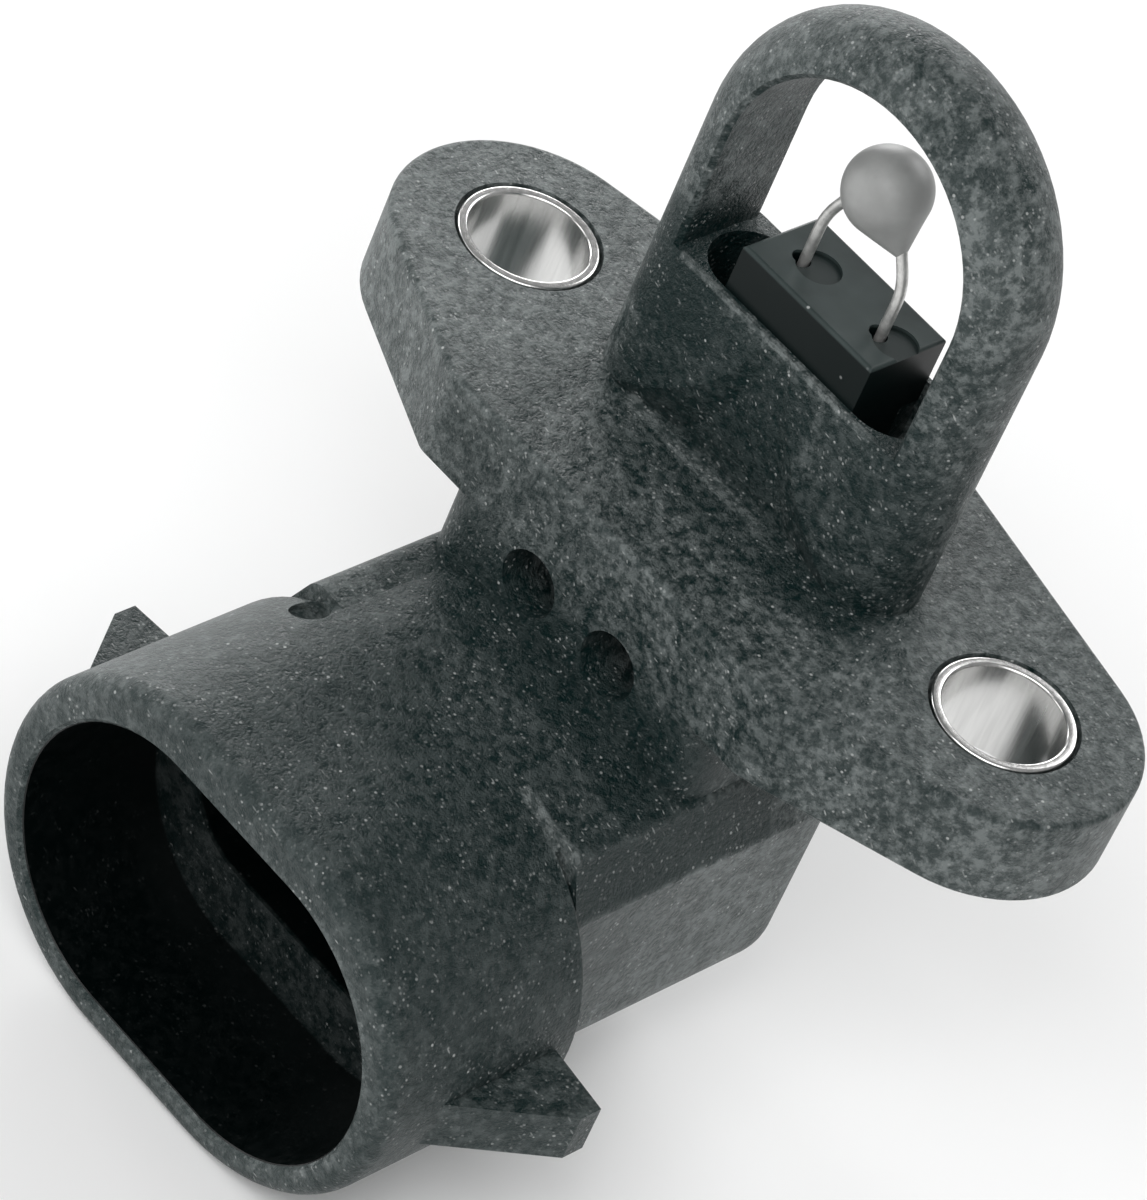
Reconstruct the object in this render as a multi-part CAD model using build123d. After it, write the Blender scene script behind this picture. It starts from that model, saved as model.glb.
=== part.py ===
from build123d import *

import os

# Air temperature sensor: a thermistor bead stands in a loop guard on a two-hole flange,
# over a body that turns a right angle into an oval connector.
# X points out of the connector, Y along the flange, Z up through the guard.
# The origin is midway between the screw holes on the flange's upper face, which seats on the duct.

# Flange
HOLE_SPACING = 34.0
FLANGE_THICKNESS = 5.3
FLANGE_END_RADIUS = 6.95
FLANGE_FRONT = 10.2
FLANGE_FRONT_HALF = 11.3
FLANGE_BACK = 10.45
FLANGE_BACK_HALF = 2.0
FLANGE_CORNER_RADIUS = 1.2
FLANGE_EDGE_ROUND = 0.35
FLANGE_EDGE_CHAMFER = 0.3

# Bushings that line the screw holes
BUSHING_OUTER = 7.15
BUSHING_BORE = 6.1
BUSHING_CHAMFER = 0.2
BUSHING_FIT = 0.02
RELIEF_WIDTH = 0.18
RELIEF_DEPTH = 0.6

# Loop guard: a strap with a full round outer edge, closed below by a wall
GUARD_DEPTH = 5.8
GUARD_HALF_WIDTH = 10.1
GUARD_SHOULDER = 15.7
GUARD_EDGE_BREAK = 0.3
WINDOW_HALF = 7.45
WALL_TOP = 8.8

# Hollow in each broad face of the guard's foot, deepest at the flange
HOLLOW_DEPTH = 0.9
HOLLOW_SLOPE = 2.5
HOLLOW_ARC_RADIUS = 12.7
HOLLOW_ARC_Y = 13.3
HOLLOW_ARC_Z = 11.5

# Carrier between the guard's legs
CARRIER_LENGTH = 8.8
CARRIER_FRONT = 2.5
CARRIER_BACK = 2.6
CARRIER_TOP = 11.45
CARRIER_SEAT = 7.6
CARRIER_EDGE_ROUND = 0.2
SHANK_DEPTH = 2.8
SHANK_BOTTOM = -3.5
PIT_REACH = 7.2
PIT_FLOOR = 4.0
STAKE_DIAMETER = 2.3
STAKE_DEPTH = 0.18
STAKE_OFFSET = 0.85
LEAD_GAP_DIAMETER = 1.0
LEAD_GAP_DEPTH = 0.8
LEAD_GAP_X = 0.3

# Leads and bead
LEAD_PITCH = 5.3
LEAD_DIAMETER = 0.55
LEAD_FOOT = 5.4
LEAD_BEND = 14.0
LEAD_BEND_RADIUS = 1.2
BEAD_DIAMETER = 4.3
BEAD_Y = -0.25
BEAD_Z = 17.55
BEAD_ENTRY = 0.9
SKIRT_START = 1.2
SKIRT_LENGTH = 1.4
SKIRT_EDGE = 0.08
SKIRT_RADIUS = 0.85

# Terminals: strip bent once, from the carrier down and forward into the connector
BLADE_WIDTH = 1.5
BLADE_THICKNESS = 0.8
BLADE_TIP = 20.2
TERMINAL_TOP = 6.8
TERMINAL_BEND = 1.6

# Neck under the flange and body behind the connector
NECK_INSET = 0.1
NECK_BACK = -1.4
NECK_CORNER_RADIUS = 2.0
BODY_BACK = -2.3
BODY_TOP = -9.3
BODY_TOP_HALF = 9.45
BODY_SIDE_TOP = -12.75
BODY_SIDE_HALF = 11.05
BODY_BOTTOM = -24.6
BODY_TOP_ROUND = 0.9
BODY_BOTTOM_ROUND = 3.0
BODY_BACK_ROUND = 3.0

# Two round core marks in the front face, over the connector
CORE_DIAMETER = 3.45
CORE_Z = -6.1
CORE_PITCH = 5.7
CORE_DEPTH = 6.0

# Connector shroud
SHROUD_REAR = 16.8
MOUTH = 29.3
SHROUD_Z = -18.55
SHROUD_HALF_LENGTH = 13.65
SHROUD_HALF_HEIGHT = 10.0
SHROUD_TOP_WALL = 2.6
SHROUD_BOTTOM_WALL = 1.7
SHROUD_END_WALL = 1.85
RIM_ROUND = 0.9
RIM_CHAMFER = 0.25
REAR_CHAMFER = 0.35
LEDGE = 20.6
LEDGE_END = 2.6
LEDGE_SIDE = 3.55
POCKET_FLOOR = 11.5

# Mark where the mould was filled, on the shroud's left shoulder
GATE_DIAMETER = 1.9
GATE_X = 18.0
GATE_Y = -8.3
GATE_FLOOR = -10.6

# Lock ramps at the shroud's two ends
RAMP_HEIGHT = 3.65
RAMP_THICKNESS = 2.8
RAMP_TOP = -17.8
RAMP_START = 25.3
RAMP_LAND_FRONT = 19.9
RAMP_LAND_REAR = 18.6
RAMP_FOOT_REAR = 18.1
RAMP_SINK = 0.8

# Worked out from the above
HOLE_Y = HOLE_SPACING / 2
GUARD_HALF_DEPTH = GUARD_DEPTH / 2
GUARD_CENTRE_HALF = GUARD_HALF_WIDTH - GUARD_HALF_DEPTH
LEAD_Y = LEAD_PITCH / 2
LEAD_RADIUS = LEAD_DIAMETER / 2
CORE_Y = CORE_PITCH / 2
TERMINAL_BACK = LEAD_RADIUS
TERMINAL_FRONT = TERMINAL_BACK + BLADE_THICKNESS
NECK_HALF = BODY_TOP_HALF - NECK_INSET
CAVITY_Z = SHROUD_Z - (SHROUD_TOP_WALL - SHROUD_BOTTOM_WALL) / 2
CAVITY_HALF_LENGTH = SHROUD_HALF_LENGTH - SHROUD_END_WALL
CAVITY_HALF_HEIGHT = SHROUD_HALF_HEIGHT - (SHROUD_TOP_WALL + SHROUD_BOTTOM_WALL) / 2
POCKET_HALF_LENGTH = CAVITY_HALF_LENGTH - LEDGE_END
POCKET_HALF_HEIGHT = CAVITY_HALF_HEIGHT - LEDGE_SIDE
RAMP_TIP = SHROUD_HALF_LENGTH + RAMP_HEIGHT


def block(x0, x1, y0, y1, z0, z1):
    """A box between two corners."""
    size = Box(x1 - x0, y1 - y0, z1 - z0)
    return Pos((x0 + x1) / 2, (y0 + y1) / 2, (z0 + z1) / 2) * size


def stadium(half_length, half_height, x0, x1, z):
    """A bar of oval section that runs along X, long way across Y."""
    outline = SlotOverall(2 * half_length, 2 * half_height)
    return extrude(Plane((x0, 0, z), x_dir=(0, 1, 0), z_dir=(1, 0, 0)) * outline, x1 - x0)


def across(points, x0, x1):
    """A prism along X from a polygon given in Y and Z."""
    outline = make_face(Polyline(*points, close=True))
    return extrude(Plane((x0, 0, 0), x_dir=(0, 1, 0), z_dir=(1, 0, 0)) * outline, x1 - x0)


def edges_along(solid, axis, where):
    """The edges parallel to an axis whose middle satisfies a test."""
    return [edge for edge in solid.edges().filter_by(axis) if where(edge.center())]


def make_flange():
    """The flange plate: two round ends joined by straight sides that swell to the middle."""
    front = FLANGE_FRONT
    half = FLANGE_FRONT_HALF
    ends = [Circle(FLANGE_END_RADIUS).moved(Pos(0, side * HOLE_Y)) for side in (-1, 1)]
    back = -FLANGE_BACK
    waist = [(front, -half), (front, half), (back, FLANGE_BACK_HALF), (back, -FLANGE_BACK_HALF)]
    middle = make_face(Polyline(*waist, close=True))
    outline = make_hull(ends[0].edges() + ends[1].edges() + middle.edges())
    plate = extrude(outline, -FLANGE_THICKNESS)
    corners = edges_along(plate, Axis.Z, lambda p: abs(p.Y) < FLANGE_FRONT_HALF + 1)
    plate = fillet(corners, FLANGE_CORNER_RADIUS)
    plate = fillet(plate.faces().sort_by(Axis.Z)[-1].edges(), FLANGE_EDGE_ROUND)
    return chamfer(plate.faces().sort_by(Axis.Z)[0].edges(), FLANGE_EDGE_CHAMFER)


def arch(half, shoulder, x0, x1, taper=0):
    """A round-topped prism along X that stands on the flange, and grows with a negative taper."""
    outline = Rectangle(2 * half, shoulder).moved(Pos(0, shoulder / 2))
    outline += Circle(half).moved(Pos(0, shoulder))
    below = Rectangle(4 * half, 2 * half).moved(Pos(0, -half))
    face = Plane((x0, 0, 0), x_dir=(0, 1, 0), z_dir=(1, 0, 0)) * (outline - below)
    return extrude(face, x1 - x0, taper=taper)


def make_guard():
    """The loop guard: a strap bent over the window, with the wall and its hollows at the foot."""
    depth = GUARD_HALF_DEPTH
    strap = arch(GUARD_CENTRE_HALF, GUARD_SHOULDER, -depth, depth)
    crown = Pos(0, 0, GUARD_SHOULDER) * Rot(0, 90, 0) * Torus(GUARD_CENTRE_HALF, depth)
    reach = 2 * GUARD_HALF_WIDTH
    strap += crown & block(-reach, reach, -reach, reach, GUARD_SHOULDER, GUARD_SHOULDER + reach)
    for side in (-1, 1):
        strap += extrude(Pos(0, side * GUARD_CENTRE_HALF, 0) * Circle(depth), GUARD_SHOULDER)
    wall = strap & block(-reach, reach, -reach, reach, 0, WALL_TOP)
    strap -= arch(WINDOW_HALF, GUARD_SHOULDER, -GUARD_DEPTH, GUARD_DEPTH)
    flare = arch(WINDOW_HALF, GUARD_SHOULDER, depth - GUARD_EDGE_BREAK, depth + GUARD_EDGE_BREAK, -45)
    strap -= flare
    strap -= mirror(flare, Plane.YZ)
    hollow = make_hollow()
    return strap + wall - hollow - mirror(hollow, Plane.YZ)


def make_hollow():
    """The sunk triangle in the front of the guard's foot, between two shoulders that slope into it."""
    lean = Polyline((GUARD_HALF_DEPTH - HOLLOW_DEPTH, 0), (GUARD_HALF_DEPTH, WALL_TOP),
                    (GUARD_DEPTH, WALL_TOP), (GUARD_DEPTH, 0), close=True)
    wedge = extrude(Plane.XZ * make_face(lean), GUARD_HALF_WIDTH, both=True)
    spread = HOLLOW_SLOPE * HOLLOW_DEPTH
    shoulder = Cone(HOLLOW_ARC_RADIUS + spread, HOLLOW_ARC_RADIUS - spread, 2 * HOLLOW_DEPTH)
    for side in (-1, 1):
        wedge -= Pos(GUARD_HALF_DEPTH, side * HOLLOW_ARC_Y, HOLLOW_ARC_Z) * Rot(0, 90, 0) * shoulder
    return wedge & block(0, GUARD_HALF_DEPTH + HOLLOW_DEPTH, -GUARD_HALF_WIDTH, GUARD_HALF_WIDTH, 0, WALL_TOP)


def make_body():
    """The neck under the flange and the block behind the connector."""
    half = NECK_HALF
    neck = block(NECK_BACK, FLANGE_FRONT, -half, half, BODY_SIDE_TOP, -FLANGE_THICKNESS / 2)
    neck = fillet(edges_along(neck, Axis.Z, lambda p: p.X > 0), NECK_CORNER_RADIUS)
    right = [(BODY_TOP_HALF, BODY_TOP), (BODY_SIDE_HALF, BODY_SIDE_TOP), (BODY_SIDE_HALF, BODY_BOTTOM)]
    section = right + [(-y, z) for y, z in reversed(right)]
    trunk = across(section, BODY_BACK, SHROUD_REAR)
    trunk = fillet(edges_along(trunk, Axis.X, lambda p: p.Z > BODY_TOP - 0.1), BODY_TOP_ROUND)
    trunk = fillet(edges_along(trunk, Axis.X, lambda p: p.Z < BODY_BOTTOM + 0.1), BODY_BOTTOM_ROUND)
    heel = edges_along(trunk, Axis.Y, lambda p: p.X < 0 and p.Z < SHROUD_Z)
    trunk = fillet(heel, BODY_BACK_ROUND)
    return neck + trunk + make_crest()


def make_crest():
    """The shroud's round top carried back over the body to the neck."""
    half = BODY_TOP_HALF - BODY_TOP_ROUND
    end = SHROUD_REAR + REAR_CHAMFER
    oval = stadium(SHROUD_HALF_LENGTH, SHROUD_HALF_HEIGHT, NECK_BACK, end, SHROUD_Z)
    return oval & block(0, end, -half, half, BODY_TOP - BODY_TOP_ROUND, 0)


def make_ramp():
    """The lock ramp on the shroud's right-hand end."""
    foot = SHROUD_HALF_LENGTH - RAMP_SINK
    run_on = (RAMP_START - RAMP_LAND_FRONT) * RAMP_SINK / RAMP_HEIGHT
    side = Polyline((RAMP_START + run_on, foot), (RAMP_LAND_FRONT, RAMP_TIP), (RAMP_LAND_REAR, RAMP_TIP),
                    (RAMP_FOOT_REAR, foot), close=True)
    return extrude(Pos(0, 0, RAMP_TOP) * make_face(side), -RAMP_THICKNESS)


def make_shroud():
    """The oval connector shroud with its rounded rim and lock ramps, still solid inside."""
    shroud = stadium(SHROUD_HALF_LENGTH, SHROUD_HALF_HEIGHT, SHROUD_REAR, MOUTH, SHROUD_Z)
    shroud -= stadium(CAVITY_HALF_LENGTH, CAVITY_HALF_HEIGHT, LEDGE, MOUTH, CAVITY_Z)
    rim = shroud.faces().filter_by(Axis.X).sort_by(Axis.X)[-1]
    shroud = fillet(rim.outer_wire().edges(), RIM_ROUND)
    rim = shroud.faces().filter_by(Axis.X).sort_by(Axis.X)[-1]
    shroud = chamfer(rim.inner_wires()[0].edges(), RIM_CHAMFER)
    rear = shroud.faces().filter_by(Axis.X).sort_by(Axis.X)[0]
    shroud = chamfer(rear.outer_wire().edges(), REAR_CHAMFER)
    ramp = make_ramp()
    return shroud + ramp + mirror(ramp, Plane.XZ)


def make_carrier():
    """The block that holds the leads: a head that shows over the guard's wall, on a thinner shank."""
    half = CARRIER_LENGTH / 2
    head = block(-CARRIER_BACK, CARRIER_FRONT, -half, half, CARRIER_SEAT, CARRIER_TOP)
    head = fillet(head.edges().group_by(Axis.Z)[-1], CARRIER_EDGE_ROUND)
    for side in (-1, 1):
        middle = side * LEAD_Y + STAKE_OFFSET
        head -= Pos(0, middle, CARRIER_TOP) * Cylinder(STAKE_DIAMETER / 2, 2 * STAKE_DEPTH)
        gap = Cylinder(LEAD_GAP_DIAMETER / 2, 2 * LEAD_GAP_DEPTH)
        head -= Pos(LEAD_GAP_X, side * LEAD_Y, CARRIER_TOP) * gap
    return head + block(-SHANK_DEPTH / 2, SHANK_DEPTH / 2, -half, half, SHANK_BOTTOM, CARRIER_SEAT)


def make_pits():
    """The deep rounded gaps between the carrier's ends and the guard's legs."""
    reach = CARRIER_LENGTH / 2
    depth = CARRIER_FRONT + CARRIER_BACK
    slot = SlotOverall(2 * PIT_REACH, depth).moved(Rot(0, 0, 90))
    centre = Pos((CARRIER_FRONT - CARRIER_BACK) / 2, 0, PIT_FLOOR)
    pits = extrude(centre * slot, GUARD_SHOULDER - PIT_FLOOR)
    return pits - block(-GUARD_DEPTH, GUARD_DEPTH, -reach, reach, 0, CARRIER_SEAT)


def make_terminal(side):
    """A bent blade: up into the carrier at one end, a plug pin at the other."""
    half = BLADE_THICKNESS / 2
    upper = CAVITY_Z + half
    lower = CAVITY_Z - half
    side_view = Polyline((TERMINAL_BACK, TERMINAL_TOP), (TERMINAL_FRONT, TERMINAL_TOP),
                         (TERMINAL_FRONT, upper), (BLADE_TIP, upper), (BLADE_TIP, lower),
                         (TERMINAL_BACK, lower), close=True)
    blade = extrude(Plane.XZ * make_face(side_view), BLADE_WIDTH / 2, both=True)
    inner = edges_along(blade, Axis.Y, lambda p: p.X < BLADE_TIP and CAVITY_Z < p.Z < TERMINAL_TOP)
    blade = fillet(inner, TERMINAL_BEND - half)
    outer = edges_along(blade, Axis.Y, lambda p: p.X < TERMINAL_FRONT and p.Z < CAVITY_Z)
    blade = fillet(outer, TERMINAL_BEND + half)
    tip = edges_along(blade, Axis.Y, lambda p: p.X > BLADE_TIP - half)
    blade = chamfer(tip, BLADE_THICKNESS / 4)
    return Pos(0, side * LEAD_Y, 0) * blade


def lead_points(side):
    """Where a lead's middle line runs, in Y and Z: its foot, its bend and its end inside the bead."""
    foot = side * LEAD_Y
    entry = BEAD_Y + side * BEAD_ENTRY
    return [(foot, LEAD_FOOT), (foot, LEAD_BEND), (entry, BEAD_Z)]


def make_lead(side):
    """A round wire from the terminal's face up to the bead, bent in at the top."""
    points = lead_points(side)
    path = Plane.YZ * FilletPolyline(*points, radius=LEAD_BEND_RADIUS)
    foot, height = points[0]
    return sweep(Pos(0, foot, height) * Circle(LEAD_RADIUS), path=path)


def make_bead():
    """The coated bead: a ball, with a skirt where the coating ran down each lead."""
    bead = Pos(0, BEAD_Y, BEAD_Z) * Sphere(BEAD_DIAMETER / 2)
    base = (Align.CENTER, Align.CENTER, Align.MIN)
    for side in (-1, 1):
        (bend_y, bend_z), (end_y, end_z) = lead_points(side)[1:]
        run = Vector(0, end_y - bend_y, end_z - bend_z)
        upward = Plane((0, bend_y, bend_z), z_dir=run)
        skirt = Cone(LEAD_RADIUS + SKIRT_EDGE, SKIRT_RADIUS, SKIRT_LENGTH, align=base)
        bead += upward * Pos(0, 0, SKIRT_START) * skirt
        bead -= upward * Cylinder(LEAD_RADIUS, run.length, align=base)
    return bead


def make_bushing(side):
    """A plain sleeve as long as the flange is thick."""
    ring = Circle(BUSHING_OUTER / 2) - Circle(BUSHING_BORE / 2)
    sleeve = extrude(ring, -FLANGE_THICKNESS)
    mouths = sleeve.edges().filter_by(GeomType.CIRCLE).sort_by(SortBy.RADIUS)[:2]
    return Pos(0, side * HOLE_Y, 0) * chamfer(mouths, BUSHING_CHAMFER)


def make_housing(inserts):
    """The whole moulding, with room for every piece that it is moulded round."""
    housing = make_flange() + make_guard() + make_body() + make_shroud()
    housing -= stadium(POCKET_HALF_LENGTH, POCKET_HALF_HEIGHT, POCKET_FLOOR, LEDGE, CAVITY_Z)
    housing -= make_pits()
    for side in (-1, 1):
        hole = Pos(0, side * HOLE_Y, 0)
        housing -= hole * extrude(Circle(BUSHING_OUTER / 2 + BUSHING_FIT), -FLANGE_THICKNESS)
        housing -= hole * extrude(Circle(BUSHING_OUTER / 2 + RELIEF_WIDTH), -RELIEF_DEPTH)
        mark = Rot(0, 90, 0) * Circle(CORE_DIAMETER / 2)
        housing -= extrude(Pos(FLANGE_FRONT - CORE_DEPTH, side * CORE_Y, CORE_Z) * mark, 2 * CORE_DEPTH)
    housing -= extrude(Pos(GATE_X, GATE_Y, GATE_FLOOR) * Circle(GATE_DIAMETER / 2), -GATE_FLOOR)
    for insert in inserts:
        housing -= insert
    return housing


leads = {side: make_lead(side) for side in (-1, 1)}
terminals = {side: make_terminal(side) for side in (-1, 1)}
bead = make_bead()
carrier = make_carrier()
housing = make_housing([carrier, terminals[-1], terminals[1]])
for side in (-1, 1):
    carrier -= terminals[side]
    carrier -= leads[side]

parts = {
    "housing": housing,
    "terminal_carrier": carrier,
    "bushing_left": make_bushing(-1),
    "bushing_right": make_bushing(1),
    "lead_left": leads[-1],
    "lead_right": leads[1],
    "thermistor_bead": bead,
    "terminal_left": terminals[-1],
    "terminal_right": terminals[1],
}
os.makedirs("parts", exist_ok=True)
for name, solid in parts.items():
    export_step(solid, f"parts/{name}.step")
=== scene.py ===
"""Looks of the air temperature sensor: its finishes, the coated bead, the leads, the bushings and a stage."""

import bpy
import numpy as np
from bpy.props import FloatProperty, FloatVectorProperty, PointerProperty
from bpy.types import Operator, Panel, PropertyGroup
from mathutils import Matrix, Vector


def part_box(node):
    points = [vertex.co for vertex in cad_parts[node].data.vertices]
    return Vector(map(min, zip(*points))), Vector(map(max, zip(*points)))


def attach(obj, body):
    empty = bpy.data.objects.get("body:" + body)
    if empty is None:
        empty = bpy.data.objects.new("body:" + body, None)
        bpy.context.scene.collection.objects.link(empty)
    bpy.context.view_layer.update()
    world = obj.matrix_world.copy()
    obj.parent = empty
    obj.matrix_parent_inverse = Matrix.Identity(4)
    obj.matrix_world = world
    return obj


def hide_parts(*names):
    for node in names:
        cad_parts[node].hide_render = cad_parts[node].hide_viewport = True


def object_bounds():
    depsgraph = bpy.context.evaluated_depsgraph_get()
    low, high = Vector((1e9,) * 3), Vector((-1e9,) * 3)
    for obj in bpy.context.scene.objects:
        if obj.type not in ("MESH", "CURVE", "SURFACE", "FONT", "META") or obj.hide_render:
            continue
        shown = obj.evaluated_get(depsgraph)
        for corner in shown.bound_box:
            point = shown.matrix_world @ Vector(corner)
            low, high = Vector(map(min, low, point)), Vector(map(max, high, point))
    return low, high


bl_info = {
    "name": "Air temperature sensor",
    "version": (1, 0, 0),
    "blender": (4, 5, 0),
    "location": "View3D > Sidebar > Sensor",
    "description": "Dresses the air temperature sensor and sets it on a pale studio floor",
    "category": "Object",
}

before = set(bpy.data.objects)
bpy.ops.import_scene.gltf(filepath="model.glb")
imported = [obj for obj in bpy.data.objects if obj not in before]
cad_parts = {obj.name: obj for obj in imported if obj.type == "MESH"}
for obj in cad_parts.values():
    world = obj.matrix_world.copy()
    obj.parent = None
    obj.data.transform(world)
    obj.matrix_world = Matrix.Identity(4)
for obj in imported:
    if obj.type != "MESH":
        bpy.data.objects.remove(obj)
CAD_BOX = [list(corner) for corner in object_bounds()]
BUSHING_LOW, BUSHING_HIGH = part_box("bushing_right")
LEAD_LOW, LEAD_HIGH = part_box("lead_right")
_, CARRIER_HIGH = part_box("terminal_carrier")
_, BEAD_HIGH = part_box("thermistor_bead")
MM = 0.001

# How finely the worked-out pieces are divided.
LIP_POINTS = 8
SLEEVE_POINTS = 144
WIRE_STEPS = 40
WIRE_POINTS = 28
BEAD_RINGS = 122
BEAD_POINTS = 160

# Regions of the housing's skin, first those with painted shade, darker in hollows, corners and under the
# flange, then those with painted light, highlights on edges and paler sides where light falls: the low and
# the high corner of a box and the fade outside it, in millimetres, then how strongly the region shows.
PAINTED_SHADE = {
    "wall front": ((2.0, -7.5, 0.4), (2.95, 2.4, 7.6), 1.2, 0.75),
    "throat": ((9.0, -8.5, -9.9), (12.5, 9.0, -6.4), 2.2, 0.8),
    "left pit": ((-1.2, -8.6, 5.0), (2.8, -4.2, 10.2), 1.6, 0.95),
    "right pit": ((-1.6, 4.4, 5.0), (2.6, 7.4, 9.6), 0.8, 0.95),
    "flange before the wall": ((3.0, -4.0, -0.5), (5.0, 6.0, 0.1), 2.2, 0.5),
    "right leg's foot": ((0.0, 5.0, -0.1), (4.2, 9.4, 1.2), 1.6, 0.8),
    "right leg's front": ((1.5, 4.5, 0.0), (3.2, 10.2, 8.0), 2.5, 0.6),
    "body's side strip": ((4.0, 9.6, -12.4), (16.8, 11.0, -10.0), 0.5, 0.8),
    "connector's top": ((13.0, -3.0, -17.0), (27.0, 11.0, -8.0), 5.0, 0.4),
}
# Painted light: highlights along edges, on the shroud's step and the guard's shoulder, and paler flange, body
# and shroud sides where light falls.
PAINTED_LIGHT = {
    "wall's upper edge": ((2.75, -7.0, 8.55), (3.1, 6.0, 8.95), 0.15, 0.55),
    "wall's foot": ((2.6, -6.5, -0.05), (3.3, 3.0, 0.12), 0.15, 0.4),
    "shroud's step": ((16.6, 5.5, -10.8), (17.1, 9.6, -8.6), 0.25, 0.6),
    "flange's left end": ((-12.0, -26.0, -5.4), (9.0, -15.0, 0.2), 7.0, 0.26),
    "flange's right end": ((-12.0, 19.0, -5.4), (9.0, 26.0, -0.5), 0.4, 0.26),
    "flange's left side": ((-12.0, -26.0, -5.4), (9.0, -9.0, -0.4), 0.4, 0.3),
    "flange's sides": ((-12.0, -26.0, -5.4), (9.0, 26.0, -0.6), 0.3, 0.1),
    "body's right side": ((0.0, 10.4, -24.0), (16.6, 11.3, -12.8), 0.3, 0.3),
    "shroud's left top": ((14.0, -15.0, -15.0), (28.0, -9.5, -8.0), 4.0, 0.26),
    "guard's right shoulder": ((0.0, 5.5, 16.5), (3.2, 9.0, 22.0), 1.6, 0.34),
}
# How strongly the painted highlight on the mouth's rim shows.
RIM_HIGHLIGHT_STRENGTH = 0.3

# Bands of the skin, in millimetres: where each begins and where it is full. The bands of the painted
# highlight on the mouth's rim lie along X, outward from the mouth's oval and along Y. The skin gets paler
# along X towards the flange. The ledge's band counts each way from its place, and on the ledge the painted
# shade inside the mouth is weaker.
RIM_HIGHLIGHT_X = (28.2, 29.0)
RIM_HIGHLIGHT_OUTWARD = (0.9, 0.3)
RIM_HIGHLIGHT_Y = (-4.0, 6.0)
PALER_X = (20.0, 6.0)
LEDGE_HALF = (0.3, 0.1)

# How far along from the bead's middle to a lead's bend the coat's skirt points.
SKIRT_AIM = 0.66

# Each lamp: its bearing and its height in degrees, its width in metres and its glow.
LAMPS = {
    "back left low": (225, 12, 0.22, 5.9),
    "left low": (270, 12, 0.22, 6.0),
    "front left low": (315, 12, 0.22, 2.2),
    "front right low": (45, 30, 0.26, 1.5),
    "back": (180, 30, 0.26, 4.5),
    "front": (0, 50, 0.30, 3.3),
    "front right": (45, 50, 0.30, 1.9),
}
LAMP_AIM = (0.008, 0.0, -0.005)
FLOOR_HALF = 1.5
FRAME_HEIGHT = 36.0
NEAREST_VIEW = 0.01


def span(name, description, millimetres):
    """A setting for a length, given in millimetres and kept in metres."""
    return FloatProperty(
        name=name, description=description, default=millimetres * MM, unit="LENGTH", precision=5)


def tint(name, description, value):
    """A setting for a colour."""
    return FloatVectorProperty(name=name, description=description, default=value, subtype="COLOR")


class SensorSizes(PropertyGroup):
    """Sizes of the pieces that are worked out here, in metres."""

    bushing_bore: span("Bushing bore", "Inner radius of the bushings", 3.05)
    bushing_lip: span("Bushing lip", "Round on the rims of the bushings", 0.16)
    lead_foot: span("Lead foot", "How far the leads run down into the carrier", 1.2)
    lead_bend: span("Lead bend", "Height of the bend in the leads", 14.0)
    lead_bend_reach: span("Bend reach", "How far the bend runs along the wire each way", 0.9)
    bead_entry: span("Bead entry", "Offset of a lead's end from the bead's middle", 0.9)
    bead_middle_y: span("Bead lean", "Offset of the bead along the flange", -0.25)
    bead_radius: span("Bead radius", "Radius of the bead's round outline", 2.15)
    skirt_touch: FloatVectorProperty(
        name="Skirts",
        description="Angle from the left and the right lead at which the coat's skirt leaves the ball",
        size=2, default=(0.56, 0.86), unit="ROTATION")
    mouth_from: span("Mouth start", "Where along X the connector's mouth begins", 17.2)
    mouth_ledge: span("Mouth ledge", "Where along X the ledge in the mouth lies", 20.6)
    mouth_middle: span("Mouth height", "Height of the mouth's middle line", -19.0)
    mouth_flat: span("Mouth flat", "Half the straight part of the mouth's oval", 3.95)
    mouth_round: span("Mouth round", "Radius of the mouth's round ends", 7.9)


class SensorFinish(PropertyGroup):
    """Colours of the finishes."""

    nylon: tint("Nylon", "Black of the glass-filled nylon", (0.0, 0.011, 0.0108))
    # Also the colour of the painted highlights and lit sides.
    nylon_pale_and_painted_light: tint("Nylon skin", "Paler patches where fibres lie near the skin, and the painted light", (0.152, 0.172, 0.170))
    # Painted shade: the deepest black inside the connector's mouth, where shade falls.
    nylon_mouth_shade: tint("Nylon mouth shade", "Painted shade, the deepest black inside the connector's mouth", (0.0, 0.0015, 0.0015))
    fibre: tint("Fibre", "Glass fibre ends in the skin", (0.58, 0.60, 0.59))
    carrier: tint("Carrier", "Smooth black of the carrier", (0.001, 0.0045, 0.0044))
    # Painted light: the carrier's top is paler where light falls on it.
    carrier_painted_top: tint("Carrier top", "Painted light on the carrier's top", (0.038, 0.052, 0.051))
    steel: tint("Bushing steel", "Plated steel of the bushings", (0.74, 0.74, 0.73))
    tin: tint("Tin", "Tin plate of the leads and blades", (0.78, 0.78, 0.76))
    coat: tint("Bead coat", "Grey coat of the bead", (0.31, 0.315, 0.31))


class StudioSettings(PropertyGroup):
    """The stage, its light and the camera."""

    floor: tint("Floor", "Colour of the floor", (0.95, 0.95, 0.95))
    sky: FloatProperty(name="Sky", description="Strength of the even light all round", default=0.28)
    lamp_reach: span("Lamp reach", "Distance of every lamp from the sensor", 500.0)
    camera_place: FloatVectorProperty(
        name="Camera", description="Where the camera stands",
        default=(0.19692, 0.11267, 0.18539), subtype="XYZ", unit="LENGTH", precision=5)
    camera_aim: FloatVectorProperty(
        name="Aim", description="Point in the middle of the picture",
        default=(0.0079963, -0.0015916, -0.0069105), subtype="XYZ", unit="LENGTH", precision=5)
    camera_roll: FloatProperty(
        name="Roll", description="Turn of the camera about its line of sight",
        default=0.423878, subtype="ANGLE")
    lens: FloatProperty(
        name="Lens", description="Focal length on a 36 mm frame, in millimetres", default=188.404)


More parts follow.
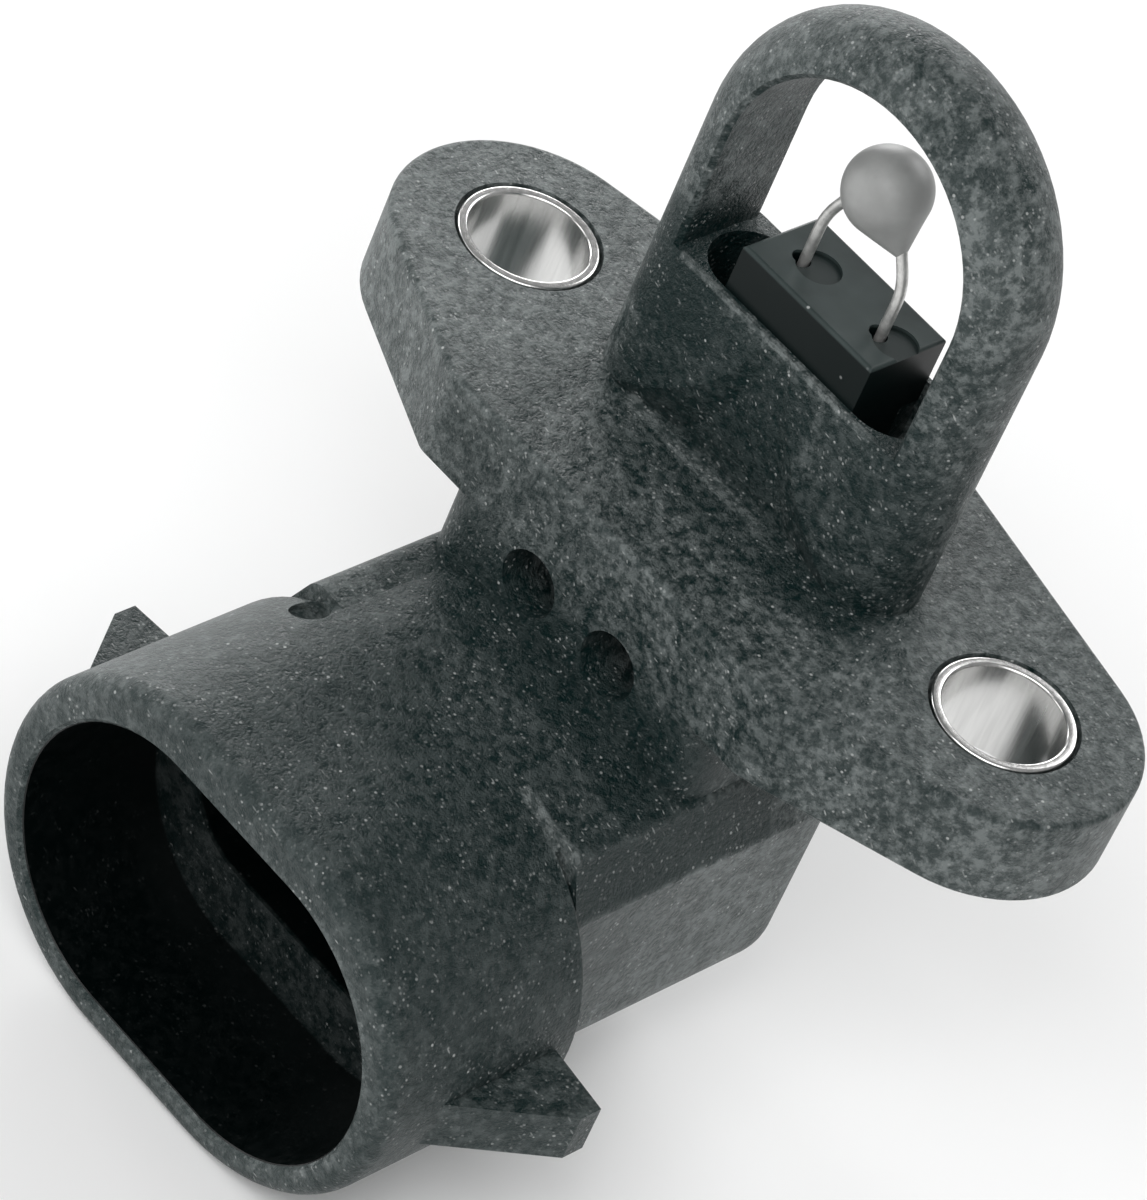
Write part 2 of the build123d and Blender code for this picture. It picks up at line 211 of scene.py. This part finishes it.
class Term:
    """A shader socket that takes part in arithmetic: each operator adds one Math node."""

    def __init__(self, shader, socket):
        self.shader = shader
        self.socket = socket

    def math(self, operation, first, second):
        return self.shader.node("ShaderNodeMath", {"operation": operation}, {0: first, 1: second})

    def __add__(self, other):
        return self.math("ADD", self, other)

    def __radd__(self, other):
        return self.math("ADD", other, self)

    def __sub__(self, other):
        return self.math("SUBTRACT", self, other)

    def __rsub__(self, other):
        return self.math("SUBTRACT", other, self)

    def __mul__(self, other):
        return self.math("MULTIPLY", self, other)

    def __rmul__(self, other):
        return self.math("MULTIPLY", other, self)

    def __abs__(self):
        return self.shader.node("ShaderNodeMath", {"operation": "ABSOLUTE"}, {0: self})

    def above(self, limit):
        return self.math("GREATER_THAN", self, limit)

    def most(self, other):
        return self.math("MAXIMUM", self, other)

    def power(self, exponent):
        return self.math("POWER", self, exponent)

    def between(self, low, high):
        """0 at low and 1 at high, eased at both ends."""
        return self.shader.node(
            "ShaderNodeMapRange", {"interpolation_type": "SMOOTHSTEP"},
            {"Value": self, "From Min": low, "From Max": high})


class Finish:
    """A material whose nodes are added by short calls."""

    def __init__(self, name):
        self.material = bpy.data.materials.new(name)
        self.material.use_nodes = True
        self.tree = self.material.node_tree
        self.tree.nodes.clear()
        self.surface = self.tree.nodes.new("ShaderNodeBsdfPrincipled")
        out = self.tree.nodes.new("ShaderNodeOutputMaterial")
        self.tree.links.new(self.surface.outputs[0], out.inputs["Surface"])

    def node(self, kind, settings=None, inputs=None, output=0):
        """Adds a node, sets it up, fills or links its inputs and gives one output as a Term."""
        made = self.tree.nodes.new(kind)
        for key, value in (settings or {}).items():
            setattr(made, key, value)
        for key, value in (inputs or {}).items():
            self.fill(made.inputs[key], value)
        return Term(self, made.outputs[output])

    def fill(self, socket, value):
        if isinstance(value, Term):
            self.tree.links.new(value.socket, socket)
        else:
            socket.default_value = value

    def set(self, **values):
        """Fills sockets of the surface: base_color stands for Base Color, and so on."""
        for key, value in values.items():
            name = key.replace("_", " ").title().replace("Ior", "IOR")
            if isinstance(value, tuple):
                value = (*value, 1.0)
            self.fill(self.surface.inputs[name], value)

    def place(self):
        """Object coordinates, in metres."""
        return self.node("ShaderNodeTexCoord", output="Object")

    def axes(self, place):
        """The three coordinates of a place, each as a Term."""
        first = self.node("ShaderNodeSeparateXYZ", None, {0: place})
        return first, *(Term(self, first.socket.node.outputs[k]) for k in (1, 2))

    def noise(self, place, size, detail=2.0, rough=0.5):
        """Soft noise between 0 and 1 whose lumps are about that size, in metres."""
        return self.node(
            "ShaderNodeTexNoise", None,
            {"Vector": place, "Scale": 1 / size, "Detail": detail, "Roughness": rough})

    def blend(self, factor, first, second):
        """Colour that goes from first to second."""
        made = self.tree.nodes.new("ShaderNodeMix")
        made.data_type = "RGBA"
        self.fill(made.inputs[0], factor)
        self.fill(made.inputs[6], first if isinstance(first, Term) else (*first, 1.0))
        self.fill(made.inputs[7], second if isinstance(second, Term) else (*second, 1.0))
        return Term(self, made.outputs[2])

    def bump(self, height, distance, strength):
        inputs = {"Height": height, "Distance": distance, "Strength": strength}
        return self.node("ShaderNodeBump", None, inputs)

    def fibres(self, place, turn, length, width, share, core):
        """Fibre ends: one in a few cells of a turned and stretched cell pattern has a pale core.
        Its brightness is 0.15 plus 0.85 times the cube of the cell's own random number."""
        turned = self.node("ShaderNodeMapping", None, {"Vector": place, "Rotation": turn})
        scale = (1 / length, 1 / width, 1 / width)
        cells = self.node("ShaderNodeMapping", None, {"Vector": turned, "Scale": scale})
        pattern = self.node("ShaderNodeTexVoronoi", {"feature": "F1"}, {"Vector": cells, "Scale": 1.0})
        colour = Term(self, pattern.socket.node.outputs["Color"])
        lot = self.node("ShaderNodeSeparateColor", None, {0: colour})
        brightness = Term(self, lot.socket.node.outputs[1])
        near = pattern.between(core, core * 0.4)
        return near * lot.above(1 - share) * (0.15 + 0.85 * brightness.power(3.0))


def mouth_reach(y, z, sizes):
    """How far a point lies outside the oval of the connector's mouth: the root of (the part of |y| past the
    flat) squared plus (z less the middle) squared, less the round."""
    past = (abs(y) - sizes.mouth_flat).most(0.0)
    rise = z - sizes.mouth_middle
    return (past * past + rise * rise).power(0.5) - sizes.mouth_round


def band(axis, ends):
    """0 where a band begins and 1 where it is full, eased between, with both ends in millimetres."""
    begins, full = ends
    return axis.between(begins * MM, full * MM)


def box_share(axes, low, high, edge):
    """1 inside a box given in millimetres, fading to 0 over the edge outside it: the product, over the three
    axes, of one eased step up at the low side and one eased step down at the high side."""
    along_x, along_y, along_z = (
        band(axis, (start - edge, start)) * band(axis, (end + edge, end))
        for axis, start, end in zip(axes, low, high))
    return along_x * along_y * along_z


def strongest(axes, regions):
    """The greatest, over the regions, of the region's strength times its box's share."""
    most = None
    for low, high, edge, strength in regions.values():
        share = strength * box_share(axes, low, high, edge)
        most = share if most is None else most.most(share)
    return most


def nylon_finish(look, sizes):
    """Matte black nylon: skin mottled at three scales, pale fibre ends that gather in patches, a fine grain,
    painted shade that makes hollows, corners and parts under the flange plainer black, painted highlights on
    edges and the mouth's rim and paler lit sides, and painted shade as the deepest black inside the
    connector's mouth. The share of pale skin is a weighted sum of the three scales, to the power of one and a
    half, greater towards the flange and less under the painted shade, plus the painted-light regions broken
    up by the mottle."""
    skin = Finish("glass-filled nylon")
    place = skin.place()
    cloud = skin.noise(place, 1.9 * MM, 4.0, 0.66).between(0.37, 0.63)
    mottle = skin.noise(place, 0.60 * MM, 5.0, 0.70).between(0.39, 0.63)
    grain = skin.noise(place, 0.20 * MM, 2.0, 0.6).between(0.3, 0.7)
    gather = skin.noise(place, 2.0 * MM, 3.0, 0.6).between(0.36, 0.66)
    dust = skin.fibres(place, (0.2, 0.5, 0.1), 0.26 * MM, 0.24 * MM, 0.36, 0.40)
    dots = skin.fibres(place, (1.2, 0.3, 0.7), 0.42 * MM, 0.38 * MM, 0.16, 0.28)
    streaks = skin.fibres(place, (0.9, 0.3, 1.1), 0.85 * MM, 0.17 * MM, 0.12, 0.36)
    crossing = skin.fibres(place, (2.1, 1.4, 0.4), 0.70 * MM, 0.16 * MM, 0.10, 0.36)
    specks = (dust * (0.2 + 0.7 * gather)).most(dots)
    specks = specks.most(streaks.most(crossing) * (0.2 + 0.8 * gather))

    axes = x, y, z = skin.axes(place)
    reach = mouth_reach(y, z, sizes)
    # Painted shade inside the connector's mouth, weaker on the ledge.
    ledge = band(abs(x - sizes.mouth_ledge), LEDGE_HALF)
    inner = x.above(sizes.mouth_from) * (1.0 - reach.above(0.0)) * (1.0 - 0.4 * ledge)
    outer = 1.0 - inner
    # Painted highlight along the rim of the connector's mouth, on its upper right.
    rim = band(x, RIM_HIGHLIGHT_X) * band(reach, RIM_HIGHLIGHT_OUTWARD) * band(y, RIM_HIGHLIGHT_Y)
    # Painted shade: hollows, corners and the parts under the flange get plainer black.
    painted_shade = strongest(axes, PAINTED_SHADE)
    # Painted light: highlights and lit sides from the regions above, and the highlight on the mouth's rim.
    pale = strongest(axes, PAINTED_LIGHT).most(RIM_HIGHLIGHT_STRENGTH * rim * outer)

    towards_flange = band(x, PALER_X)
    patchy = 1.45 * (0.20 * cloud + 0.42 * mottle + 0.12 * grain).power(1.5)
    share = patchy * (0.62 + 0.5 * towards_flange) * (1.0 - painted_shade) + pale * (0.4 + 0.8 * mottle)
    # Blends the black, its paler skin with the painted light, and the painted shade inside the mouth.
    ground = skin.blend(inner, skin.blend(share, look.nylon, look.nylon_pale_and_painted_light), look.nylon_mouth_shade)
    skin.set(
        # Fewer fibre ends show inside the mouth, under its painted shade.
        base_color=skin.blend(specks * (0.04 + 0.66 * outer), ground, look.fibre),
        roughness=0.38 + 0.16 * mottle - 0.1 * inner,
        normal=skin.bump(0.6 * mottle + 0.4 * grain + 0.3 * specks, 0.08 * MM, 0.9 * outer),
        ior=1.42,
    )
    return skin.material


def carrier_finish(look):
    """Smooth black of the carrier, painted paler on top where light falls, with a few fibre ends."""
    smooth = Finish("smooth carrier plastic")
    place = smooth.place()
    soft = smooth.noise(place, 1.6 * MM, 3.0)
    specks = smooth.fibres(place, (0.4, 0.2, 0.9), 0.9 * MM, 0.8 * MM, 0.12, 0.13)
    z = smooth.axes(place)[2]
    # Painted light on the carrier's top: its top face and the upper edge of its sides are paler.
    top = z.between(CARRIER_HIGH.z - 0.25 * MM, CARRIER_HIGH.z - 0.1 * MM)
    ground = smooth.blend(top * (0.5 + 0.7 * soft), look.carrier, look.carrier_painted_top)
    smooth.set(
        base_color=smooth.blend(specks * 0.7, ground, look.fibre),
        roughness=0.36 + 0.12 * soft,
        normal=smooth.bump(soft, 0.02 * MM, 0.5),
        ior=1.3,
    )
    return smooth.material


def shades(finish, noise, colour, dull):
    """Colour that goes, with the noise, from a dull share of itself to itself."""
    return finish.blend(noise.between(0.3, 0.7), tuple(dull * part for part in colour), colour)


def steel_finish(look):
    """Plated steel: bright, with fine draw marks along the bore."""
    steel = Finish("plated steel")
    drawn = steel.node("ShaderNodeMapping", None, {"Vector": steel.place(), "Scale": (1.0, 1.0, 0.06)})
    marks = steel.noise(drawn, 0.3 * MM, 3.0, 0.6)
    steel.set(
        base_color=shades(steel, marks, look.steel, 0.86),
        metallic=1.0,
        roughness=0.16 + 0.16 * marks,
        normal=steel.bump(marks, 0.01 * MM, 0.5),
    )
    return steel.material


def tin_finish(look):
    """Dull tin plate with soft cloudy wear."""
    tin = Finish("dull tin plate")
    cloudy = tin.noise(tin.place(), 0.5 * MM, 3.0, 0.6)
    tin.set(
        base_color=shades(tin, cloudy, look.tin, 0.72),
        metallic=0.75,
        roughness=0.3 + 0.2 * cloudy,
    )
    return tin.material


def coat_finish(look):
    """Grey dipped coat: smooth, a little cloudy, with a soft shine."""
    coat = Finish("grey dipped coat")
    cloudy = coat.noise(coat.place(), 1.1 * MM, 3.0)
    coat.set(
        base_color=shades(coat, cloudy, look.coat, 0.88),
        roughness=0.38 + 0.1 * cloudy,
        normal=coat.bump(cloudy, 0.03 * MM, 0.4),
        ior=1.5,
    )
    return coat.material


def ring_surface(name, rings, start=None, end=None, joined=False):
    """Skin over closed rings of points, as one array of rings by points by three: quads between each ring and
    the next, fans to the start and end points, or quads from the last ring back to the first."""
    count, around = rings.shape[:2]
    points = rings.reshape(-1, 3)
    index = np.arange(count * around).reshape(count, around)
    rows = index if joined else index[:-1]
    ahead = np.roll(index, -1, axis=0)[: len(rows)]
    quads = np.stack([rows, np.roll(rows, -1, 1), np.roll(ahead, -1, 1), ahead], -1).reshape(-1, 4)
    faces = quads.tolist()
    for tip, ring, turn in ((start, index[0], 1), (end, index[-1], -1)):
        if tip is None:
            continue
        points = np.vstack([points, tip])
        apex = np.full(around, len(points) - 1)
        fan = np.stack([apex, np.roll(ring, -1), ring], -1)[:, ::turn]
        faces += fan.tolist()
    mesh = bpy.data.meshes.new(name)
    mesh.from_pydata(points.tolist(), [], faces)
    mesh.polygons.foreach_set("use_smooth", np.ones(len(mesh.polygons), bool))
    made = bpy.data.objects.new(name, mesh)
    bpy.context.scene.collection.objects.link(made)
    return made


def settle(piece, node, material):
    """Makes a piece stand for a solid of the frame, with its own finish: hangs it from the root body and
    hides the solid.
    """
    piece.data.materials.append(material)
    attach(piece, "root")
    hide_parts(node)


def dress(node, material):
    """Puts a finish on a solid of the frame."""
    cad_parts[node].data.materials[0] = material


def sleeve_rings(inner, outer, low, high, lip, middle_y):
    """A rounded rectangle carried round the hole's axis: its corner arcs lie lip inside each corner."""
    turn = np.linspace(0, 0.5 * np.pi, LIP_POINTS)
    corners = ((outer, high, 0.0), (inner, high, 0.5), (inner, low, 1.0), (outer, low, 1.5))
    inward = np.array([(-1, -1), (1, -1), (1, 1), (-1, 1)])
    middles = np.array([(r, z) for r, z, _ in corners]) + lip * inward
    angles = turn + np.pi * np.array([a for _, _, a in corners])[:, None]
    across = (middles[:, None, 0] + lip * np.cos(angles)).ravel()
    height = (middles[:, None, 1] + lip * np.sin(angles)).ravel()
    spin = np.linspace(0, 2 * np.pi, SLEEVE_POINTS, endpoint=False)[:, None]
    return np.stack([across * np.cos(spin), middle_y + across * np.sin(spin), height + 0 * spin], -1)


def bent_path(points, reach):
    """A path in Y and Z through a foot, a bend and an end: straight, then a parabola that touches both
    straights at the reach from the bend, then straight again."""
    foot, bend, end = np.array(points)
    into = bend - reach * (bend - foot) / np.linalg.norm(bend - foot)
    out = bend + reach * (end - bend) / np.linalg.norm(end - bend)
    t = np.linspace(0, 1, WIRE_STEPS)[:, None]
    curve = (1 - t) ** 2 * into + 2 * t * (1 - t) * bend + t ** 2 * out
    return np.vstack([foot + t[:-1] * (into - foot), curve, out + t[1:] * (end - out)])


def wire_rings(path, radius):
    """A circle carried along a path in Y and Z: its two axes are X and the path's own normal."""
    along = np.gradient(path, axis=0)
    along /= np.linalg.norm(along, axis=1, keepdims=True)
    turn = np.linspace(0, 2 * np.pi, WIRE_POINTS, endpoint=False)
    side = radius * np.sin(turn)
    y = path[:, :1] - along[:, 1:] * side
    z = path[:, 1:] + along[:, :1] * side
    x = np.broadcast_to(radius * np.cos(turn), y.shape)
    return np.stack([x, y, z], -1)


def lead_path(sizes, side):
    """Foot, bend and end of a lead, in Y and Z."""
    foot_y = side * (LEAD_HIGH.y - 0.5 * (LEAD_HIGH.x - LEAD_LOW.x))
    bead_z = BEAD_HIGH.z - sizes.bead_radius
    end_y = sizes.bead_middle_y + side * sizes.bead_entry
    return (foot_y, CARRIER_HIGH.z - sizes.lead_foot), (foot_y, sizes.lead_bend), (end_y, bead_z)


def bead_rings(sizes):
    """A drop by longitude and latitude: a ball with two slight waves, and round each lead a cone that leaves
    it smoothly. There the radius is the ball's divided by the cosine of how far the angle from the lead
    falls short of the touch."""
    middle = np.array([0, sizes.bead_middle_y, BEAD_HIGH.z - sizes.bead_radius])
    polar = np.linspace(0, np.pi, BEAD_RINGS)[:, None]
    spin = np.linspace(0, 2 * np.pi, BEAD_POINTS, endpoint=False)
    way = [np.sin(polar) * np.cos(spin), np.sin(polar) * np.sin(spin), np.cos(polar) + 0 * spin]
    way = np.stack(way, -1)
    half = np.array([BEAD_HIGH.x, sizes.bead_radius, sizes.bead_radius])
    reach = 1 / np.linalg.norm(way / half, axis=-1)
    reach = reach * (1 + 0.008 * np.sin(3 * way[..., 1] + 1) + 0.006 * np.sin(4 * way[..., 2]))
    for side, touch in zip((-1, 1), sizes.skirt_touch):
        _, bend, end = np.array(lead_path(sizes, side))
        tip = end + SKIRT_AIM * (bend - end) - middle[1:]
        tip = np.array([0, *tip]) / np.linalg.norm(tip)
        angle = np.arccos(np.clip(way @ tip, -1, 1))
        reach = reach / np.cos(np.maximum(touch - angle, 0))
    return middle + reach[..., None] * way


class SENSOR_OT_housing(Operator):
    """Give the moulded housing its speckled nylon, with painted shade in its hollows and painted light on
    edges and lit sides
    """

    bl_idname = "sensor.housing"
    bl_label = "Housing"

    def execute(self, context):
        dress("housing", nylon_finish(context.scene.sensor_finish, context.scene.sensor_sizes))
        return {"FINISHED"}


class SENSOR_OT_carrier(Operator):
    """Give the carrier between the guard's legs its smooth black"""

    bl_idname = "sensor.carrier"
    bl_label = "Carrier"

    def execute(self, context):
        dress("terminal_carrier", carrier_finish(context.scene.sensor_finish))
        return {"FINISHED"}


class SENSOR_OT_bushings(Operator):
    """Turn the two bushings with rounded lips"""

    bl_idname = "sensor.bushings"
    bl_label = "Bushings"

    def execute(self, context):
        sizes = context.scene.sensor_sizes
        steel = steel_finish(context.scene.sensor_finish)
        outer = 0.5 * (BUSHING_HIGH.x - BUSHING_LOW.x)
        middle = 0.5 * (BUSHING_HIGH.y + BUSHING_LOW.y)
        for side, node in ((-1, "bushing_left"), (1, "bushing_right")):
            rings = sleeve_rings(
                sizes.bushing_bore, outer, BUSHING_LOW.z, BUSHING_HIGH.z, sizes.bushing_lip, side * middle)
            settle(ring_surface(f"{node}_turned", rings, joined=True), node, steel)
        return {"FINISHED"}


class SENSOR_OT_leads(Operator):
    """Draw the two leads from the carrier to the bead"""

    bl_idname = "sensor.leads"
    bl_label = "Leads"

    def execute(self, context):
        sizes = context.scene.sensor_sizes
        tin = tin_finish(context.scene.sensor_finish)
        radius = 0.5 * (LEAD_HIGH.x - LEAD_LOW.x)
        for side, node in ((-1, "lead_left"), (1, "lead_right")):
            path = bent_path(lead_path(sizes, side), sizes.lead_bend_reach)
            rings = wire_rings(path, radius)
            foot, end = [0, *path[0]], [0, *path[-1]]
            settle(ring_surface(f"{node}_wire", rings, foot, end), node, tin)
        return {"FINISHED"}


class SENSOR_OT_bead(Operator):
    """Model the dipped bead with its skirts"""

    bl_idname = "sensor.bead"
    bl_label = "Bead"

    def execute(self, context):
        rings = bead_rings(context.scene.sensor_sizes)
        top, bottom = rings[0].mean(0), rings[-1].mean(0)
        ball = ring_surface("thermistor_bead_coat", rings[1:-1], top, bottom)
        settle(ball, "thermistor_bead", coat_finish(context.scene.sensor_finish))
        return {"FINISHED"}


class SENSOR_OT_terminals(Operator):
    """Tin the two blades inside the connector"""

    bl_idname = "sensor.terminals"
    bl_label = "Terminals"

    def execute(self, context):
        tin = tin_finish(context.scene.sensor_finish)
        for node in ("terminal_left", "terminal_right"):
            dress(node, tin)
        return {"FINISHED"}


def lay_floor(studio):
    """A square of pale paper under the sensor's lowest point."""
    low = CAD_BOX[0][2]
    near, far = -FLOOR_HALF, FLOOR_HALF
    corners = [(near, near, low), (far, near, low), (far, far, low), (near, far, low)]
    mesh = bpy.data.meshes.new("floor")
    mesh.from_pydata(corners, [], [(0, 1, 2, 3)])
    floor = bpy.data.objects.new("floor", mesh)
    bpy.context.scene.collection.objects.link(floor)
    paper = Finish("floor paper")
    paper.set(base_color=tuple(studio.floor), roughness=0.9)
    mesh.materials.append(paper.material)


def light_sky(studio):
    """Even white light from all round."""
    world = bpy.data.worlds.new("studio sky")
    bpy.context.scene.world = world
    world.use_nodes = True
    sky = world.node_tree.nodes["Background"]
    sky.inputs["Color"].default_value = (1.0, 1.0, 1.0, 1.0)
    sky.inputs["Strength"].default_value = studio.sky


def add_lamp(name, turn, lift, width, glow, reach):
    """A square soft box that faces the sensor from a bearing and a height, both in degrees. Its power is pi
    times its area times the glow, so the glow is what a mirror would show."""
    turn, lift = np.radians((turn, lift))
    way = Vector((np.cos(lift) * np.cos(turn), np.cos(lift) * np.sin(turn), np.sin(lift)))
    data = bpy.data.lights.new(name, "AREA")
    data.size = width
    data.energy = np.pi * width * width * glow
    lamp = bpy.data.objects.new(name, data)
    lamp.location = Vector(LAMP_AIM) + reach * way
    lamp.rotation_euler = (-way).to_track_quat("-Z", "Y").to_euler()
    bpy.context.scene.collection.objects.link(lamp)


def place_camera(studio):
    """A camera that looks from its place to the aim, turned by the roll about its line of sight."""
    data = bpy.data.cameras.new("camera")
    data.sensor_fit = "VERTICAL"
    data.sensor_height = FRAME_HEIGHT
    data.lens = studio.lens
    data.clip_start = NEAREST_VIEW
    camera = bpy.data.objects.new("camera", data)
    place = Vector(studio.camera_place)
    look = (Vector(studio.camera_aim) - place).to_track_quat("-Z", "Y").to_matrix()
    turn = look @ Matrix.Rotation(studio.camera_roll, 3, "Z")
    camera.matrix_world = Matrix.Translation(place) @ turn.to_4x4()
    bpy.context.scene.collection.objects.link(camera)
    bpy.context.scene.camera = camera


class SENSOR_OT_stage(Operator):
    """Lay the floor, set the lamps and place the camera"""

    bl_idname = "sensor.stage"
    bl_label = "Stage"

    def execute(self, context):
        studio = context.scene.sensor_studio
        lay_floor(studio)
        light_sky(studio)
        for name, lamp in LAMPS.items():
            add_lamp(name, *lamp, studio.lamp_reach)
        place_camera(studio)
        context.scene.view_settings.view_transform = "Standard"
        return {"FINISHED"}


class SENSOR_PT_pieces(Panel):
    """The pieces of the sensor, in the order in which they are made"""

    bl_idname = "SENSOR_PT_pieces"
    bl_label = "Air temperature sensor"
    bl_space_type = "VIEW_3D"
    bl_region_type = "UI"
    bl_category = "Sensor"

    def draw(self, context):
        for piece in PIECES:
            self.layout.operator(piece.bl_idname)
        for settings in ("sensor_sizes", "sensor_finish", "sensor_studio"):
            group = getattr(context.scene, settings)
            box = self.layout.box()
            for name in group.__annotations__:
                box.prop(group, name)


PIECES = (
    SENSOR_OT_housing,
    SENSOR_OT_carrier,
    SENSOR_OT_bushings,
    SENSOR_OT_leads,
    SENSOR_OT_bead,
    SENSOR_OT_terminals,
    SENSOR_OT_stage,
)
CLASSES = (SensorSizes, SensorFinish, StudioSettings, *PIECES, SENSOR_PT_pieces)


def register():
    for made in CLASSES:
        bpy.utils.register_class(made)
    bpy.types.Scene.sensor_sizes = PointerProperty(type=SensorSizes)
    bpy.types.Scene.sensor_finish = PointerProperty(type=SensorFinish)
    bpy.types.Scene.sensor_studio = PointerProperty(type=StudioSettings)


def unregister():
    del bpy.types.Scene.sensor_studio
    del bpy.types.Scene.sensor_finish
    del bpy.types.Scene.sensor_sizes
    for made in reversed(CLASSES):
        bpy.utils.unregister_class(made)


def main():
    register()
    bpy.ops.sensor.housing()
    bpy.ops.sensor.carrier()
    bpy.ops.sensor.bushings()
    bpy.ops.sensor.leads()
    bpy.ops.sensor.bead()
    bpy.ops.sensor.terminals()
    bpy.ops.sensor.stage()


if __name__ == "__main__":
    main()
